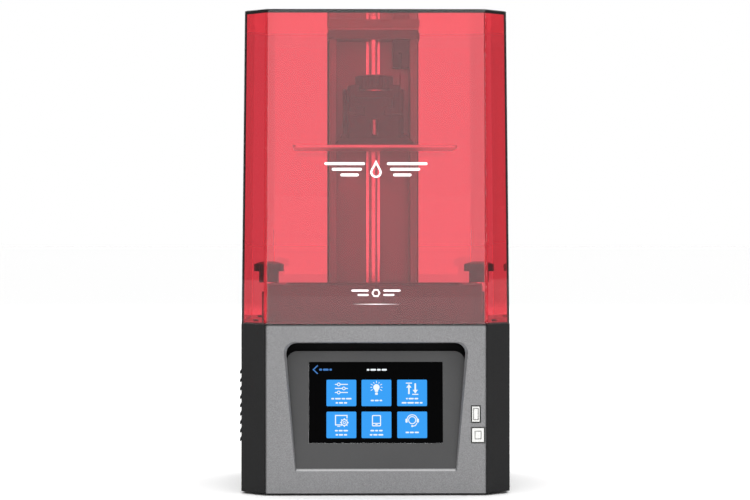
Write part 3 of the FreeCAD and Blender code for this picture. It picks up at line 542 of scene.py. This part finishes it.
def build_screen():
    """Two rows of three tiles, each with an icon and bars, under a back arrow and a title bar."""
    tiles = screen_picture("screen_tiles", "ui_blue", "tile")
    marks = screen_picture("screen_marks", "ui_white", "mark")
    dim = screen_picture("screen_back_mark", "ui_dim_blue", "mark")
    for row, v in enumerate(TILE_V):
        for column, x in enumerate(TILE_X):
            tiles.fill(rounded(x, v, x + TILE_W, v + TILE_H, TILE_CORNER))
            cx = x + TILE_W / 2
            ICONS[row][column](marks, cx, v + TILE_H - ICON_DROP)
            lines = LABELS[row][column]
            for i, widths in enumerate(lines):
                y = v + (5.5 - 3.4 * i if len(lines) == 2 else 4.0)
                marks.bars(cx, y, widths, 1.2, 0.7)
    marks.bars(0.8, 79.9, (2.2, 4.6, 3.0, 4.2), 1.5, 0.8)
    dim.line([(-47.6, 84.2), (-51.2, 80.8), (-47.6, 77.4)], 0.9)
    dim.bars(-41.2, 80.0, (2.4, 4.6, 2.0), 1.6, 0.7)
    for picture in (tiles, marks, dim):
        picture.done()


# ---------------------------------------------------------------- generic marks on the cover
def on_cover(x, z, n):
    """Millimetres across, height above the floor and out of the leaning front wall, as a point in metres."""
    rise = z * MM - COVER_LOW[2]
    return (x * MM, COVER_LOW[1] + rise * COVER_LEAN - n * MM, z * MM)


def droplet(cx, cy, r):
    """Drop outline: a round bottom and a point at the top."""
    return arc(cx, cy, r, -210, 30, 26) + [(cx + 0.45 * r, cy + 1.25 * r), (cx, cy + 2.15 * r),
                                           (cx - 0.45 * r, cy + 1.25 * r)]


def build_cover_marks():
    """Three bars on each side of a droplet, and lower down two on each side of a ring with a thin flash."""
    # White print whose material adds a painted glow.
    ink = Picture("cover_marks", "white_ink_painted_glow", "red_acrylic", "cover", on_cover, *INK)
    ink.fill(droplet(0.0, UPPER_MARK_Z - 2.2, 4.6), droplet(0.0, UPPER_MARK_Z - 2.2, 3.0))
    for side in (-1, 1):
        for level, (start, end) in enumerate(((9.0, 42.0), (11.5, 36.0), (14.0, 29.0))):
            x0, x1 = sorted((side * start, side * end))
            z = UPPER_MARK_Z + 3.6 - 4.6 * level
            ink.fill(rounded(x0, z, x1, z + 2.3, 1.1))
    ink.fill(circle(0.0, LOWER_MARK_Z + 0.8, 3.6, 6), circle(0.0, LOWER_MARK_Z + 0.8, 2.3, 6))
    for side in (-1, 1):
        for level, end in enumerate((20.0, 15.0)):
            x0, x1 = sorted((side * 6.0, side * end))
            z = LOWER_MARK_Z + 2.0 - 3.6 * level
            ink.fill(rounded(x0, z, x1, z + 1.6, 0.75))
    ink.fill([(-20.5, FLASH_Z), (0.0, FLASH_Z - 0.3), (20.5, FLASH_Z), (0.0, FLASH_Z + 0.3)])
    ink.done()


# ---------------------------------------------------------------- threaded rods
def add_thread(bm, middle, start, end, thread, steps=20):
    """A right-hand trapezoid thread round a solid core."""
    cx, cy = middle
    crest, root, pitch = thread
    profile = [(0.10, root), (0.36, root), (0.54, crest), (0.92, crest)]
    rows = []
    for k in range(int((end - start) / pitch) * steps + 1):
        angle = 2 * math.pi * k / steps
        z = start + pitch * k / steps
        rows.append([bm.verts.new((cx + r * math.cos(angle), cy + r * math.sin(angle), z + pitch * f))
                     for f, r in profile])
    for k in range(len(rows) - 1):
        a, b = rows[k], rows[k + 1]
        for i in range(3):
            bm.faces.new((a[i], b[i], b[i + 1], a[i + 1]))
        if k + steps + 1 < len(rows):
            c, d = rows[k + steps], rows[k + steps + 1]
            bm.faces.new((a[3], b[3], d[0], c[0]))
    add_rod(bm, middle, start, end, root * 0.995)


def add_rod(bm, middle, z0, z1, radius):
    bmesh.ops.create_cone(bm, cap_ends=True, segments=40, radius1=radius, radius2=radius, depth=z1 - z0,
                          matrix=Matrix.Translation((*middle, (z0 + z1) / 2)))


def build_lead_screw():
    """Real thread between plain ends, in place of the plain cylinder."""
    low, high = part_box("lead_screw")
    middle = 0.5 * (low[0] + high[0]), 0.5 * (low[1] + high[1])
    crest, _, pitch = SCREW_THREAD
    start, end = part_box("deck_plate")[1][2] + 0.001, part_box("column_cap")[0][2] - 0.0015
    bm = bmesh.new()
    add_thread(bm, middle, start, end, SCREW_THREAD)
    add_rod(bm, middle, low[2], start + pitch, crest)
    add_rod(bm, middle, end - pitch, high[2], crest)
    obj = new_mesh("lead_screw_thread", bm, "screw_steel", "lead_screw")
    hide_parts("lead_screw")


def build_hanger_stud():
    """Threaded stud seen in the hanger's upright slot."""
    low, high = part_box("hanger")
    middle = 0.5 * (low[0] + high[0]), low[1] + STUD_BACK
    bm = bmesh.new()
    add_thread(bm, middle, *STUD_SPAN, STUD_THREAD, 16)
    new_mesh("hanger_stud", bm, "stud_zinc", "platform")


# ---------------------------------------------------------------- small surface parts
def box_mm(node):
    return tuple([v / MM for v in corner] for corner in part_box(node))


def level(top):
    """Places millimetres across, back and up on a flat face that lies at this height in metres."""
    return lambda x, y, n: (x * MM, y * MM, top + n * MM)


def upright(front):
    """Places millimetres across, up and out on a vertical plane that faces the front."""
    return lambda x, z, n: (x * MM, (front - n) * MM, z * MM)


def shrunk(low, high, inset, radius, steps=5):
    """Rounded outline inside a box seen from above, the same distance from each edge."""
    return rounded(low[0] + inset, low[1] + inset, high[0] - inset, high[1] - inset, radius, steps)


def build_mask_tape():
    """Black tape frame along the edge of the mask screen, below the deck's face."""
    low, high = box_mm("mask_panel")
    bm = bmesh.new()
    add_plate(bm, shrunk(low, high, TAPE_EDGE, 0.4), level(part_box("mask_panel")[1][2]), 0.01, 0.09,
              shrunk(low, high, TAPE_WINDOW, 1.5))
    new_mesh("mask_tape", bm, "tape_black", "base")


# Data sockets: insets of the mouth and of the tongue from the shell's left, right, lower and upper edge.
SOCKETS = (("socket_a", (1.0, 1.0, 1.0, 1.0), (2.0, 1.9, 2.2, 2.2)),
           ("socket_b", (1.9, 1.2, 1.6, 1.6), (3.1, 3.0, 3.2, 3.2)))
TONGUE_GAP = 0.55


def build_socket_trim():
    """Dark outline round each data socket and a pale lip inside its mouth."""
    for node, mouth, tongue in SOCKETS:
        low, high = box_mm(node)

        def frame_at(inset, grow, radius, low=low, high=high):
            left, right, foot, head = (v - grow for v in inset)
            return rounded(low[0] + left, low[2] + foot, high[0] - right, high[2] - head, radius, 3)
        rim, lip = bmesh.new(), bmesh.new()
        none = (0.0, 0.0, 0.0, 0.0)
        add_plate(rim, frame_at(none, -0.02, 0.5), upright(low[1]), 0.01, 0.05,
                  frame_at(none, -RIM_WIDTH, 0.3))
        new_mesh(node + "_rim", rim, "tape_black", "base")
        add_plate(lip, frame_at(mouth, 0.1, 0.3), upright(low[1]), -0.45, -0.15,
                  frame_at(tongue, TONGUE_GAP, 0.3))
        new_mesh(node + "_lip", lip, "white_plastic", "base")


def build_cap_strip():
    """Low lip along the front of the column cap that closes the slit under the cover's ceiling."""
    low, high = box_mm("column_cap")
    outline = rounded(low[0] + LIP_MARGIN, low[1] + LIP_MARGIN, high[0] - LIP_MARGIN, low[1] + 4.0, 1.0, 3)
    bm = bmesh.new()
    add_plate(bm, outline, level(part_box("column_cap")[1][2]), 0.0, LIP_HEIGHT)
    new_mesh("column_cap_lip", bm, "alu_dark", "base")


def build_foot_highlight():
    """Painted highlight: a lighter grey strip along the bevel at the foot of the recess."""
    front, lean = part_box("front_panel")[0][1] / MM, math.sqrt(0.5)
    bm = bmesh.new()

    def place(x, t, n):
        return (x * MM, (front + lean * (t - n)) * MM, (FOOT_Z + lean * (t + n)) * MM)
    # the strip's lighter grey is a painted highlight on the bevel
    add_plate(bm, [(-64.9, 0.1), (64.9, 0.1), (64.6, 2.0), (-64.6, 2.0)], place, 0.01, 0.05)
    new_mesh("recess_foot_painted_highlight", bm, "painted_highlight_grey", "base")


def build_knob_caps():
    """Turned metal inserts let into the tops of the knobs."""
    for node, radius in (("platform_knob", 6.0), ("thumb_knob_left", 4.2), ("thumb_knob_right", 4.2)):
        low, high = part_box(node)
        cx, cy, place = 0.5 * (low[0] + high[0]) / MM, 0.5 * (low[1] + high[1]) / MM, level(high[2])
        bm = bmesh.new()
        add_plate(bm, circle(cx, cy, radius, 36), place, -0.9, -0.03, circle(cx, cy, radius * 0.45, 36))
        add_plate(bm, circle(cx, cy, radius * 0.45, 36), place, -1.2, -0.35)
        new_mesh(node + "_insert", bm, "steel", node)


def build_vent_mesh():
    """Fine dust mesh stretched behind each louvre panel."""
    for node, side in (("vent_left", -1), ("vent_right", 1)):
        low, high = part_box(node)
        x = (high[0] if side < 0 else low[0]) + side * -0.0006
        y0, y1, z0, z1 = low[1] + 0.002, high[1] - 0.002, low[2] + 0.002, high[2] - 0.002
        bm = bmesh.new()

        def bar(a, b, bm=bm, x=x):
            middle = Matrix.Translation((x, (a[0] + b[0]) / 2, (a[1] + b[1]) / 2))
            spans = (MESH_WIRE, max(b[0] - a[0], MESH_WIRE), max(b[1] - a[1], MESH_WIRE), 1)
            bmesh.ops.create_cube(bm, size=1.0, matrix=middle @ Matrix.Diagonal(spans))
        for i in range(int((y1 - y0) / MESH_PITCH) + 1):
            bar((y0 + MESH_PITCH * i, z0), (y0 + MESH_PITCH * i, z1))
        for i in range(int((z1 - z0) / MESH_PITCH) + 1):
            bar((y0, z0 + MESH_PITCH * i), (y1, z0 + MESH_PITCH * i))
        new_mesh(node + "_mesh", bm, "tape_black", "base")


def build_vat_marks():
    """Raised level lines inside the basin's rear wall."""
    place = upright(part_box("vat_film")[1][1] / MM)
    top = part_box("vat_body")[1][2] / MM
    bm = bmesh.new()
    for line_z, half in ((top - 8.0, 14.0), (top - 16.0, 9.0)):
        add_plate(bm, rounded(-half, line_z, half, line_z + 0.8, 0.35, 3), place, 0.0, 0.35)
    new_mesh("vat_level_lines", bm, "vat_dark", "vat")


# ---------------------------------------------------------------- floor
def floor_paper():
    """White paper with painted shade: a little greyer far off so that it meets the backdrop evenly."""
    mat, tree, shader = principled("floor_paper")
    coord = tree.nodes.new("ShaderNodeTexCoord")
    length = tree.nodes.new("ShaderNodeVectorMath")
    length.operation = "LENGTH"
    tree.links.new(coord.outputs["Object"], length.inputs[0])
    away = spread(tree, length.outputs["Value"], 0.0, 1.0, *FLOOR_FADE)
    # painted shade: the paper turns greyer with distance to meet the backdrop evenly
    shades = ramp_of(tree, away, [(0.0, (FLOOR_NEAR,) * 3), (1.0, (FLOOR_FAR,) * 3)])
    tree.links.new(shades, shader.inputs["Base Color"])
    tree.links.new(spread(tree, noise(tree, 40.0), 0.72, 0.80), shader.inputs["Roughness"])
    return mat


def build_stage():
    bm = bmesh.new()
    corners = [(x * FLOOR_REACH, y * FLOOR_REACH, 0) for x, y in ((-1, -1), (1, -1), (1, 1), (-1, 1))]
    bm.faces.new([bm.verts.new(p) for p in corners])
    mesh = bpy.data.meshes.new("floor")
    bm.to_mesh(mesh)
    bm.free()
    floor = bpy.data.objects.new("floor", mesh)
    bpy.context.scene.collection.objects.link(floor)
    floor.data.materials.append(floor_paper())


make_camera()
make_world()
for light in LIGHTS:
    area_light(*light)
build_stage()
paint_frame()
build_screen()
build_cover_marks()
build_lead_screw()
build_hanger_stud()
build_mask_tape()
build_socket_trim()
build_foot_highlight()
build_cap_strip()
build_knob_caps()
build_vent_mesh()
build_vat_marks()
bpy.context.scene.view_settings.view_transform = "Standard"
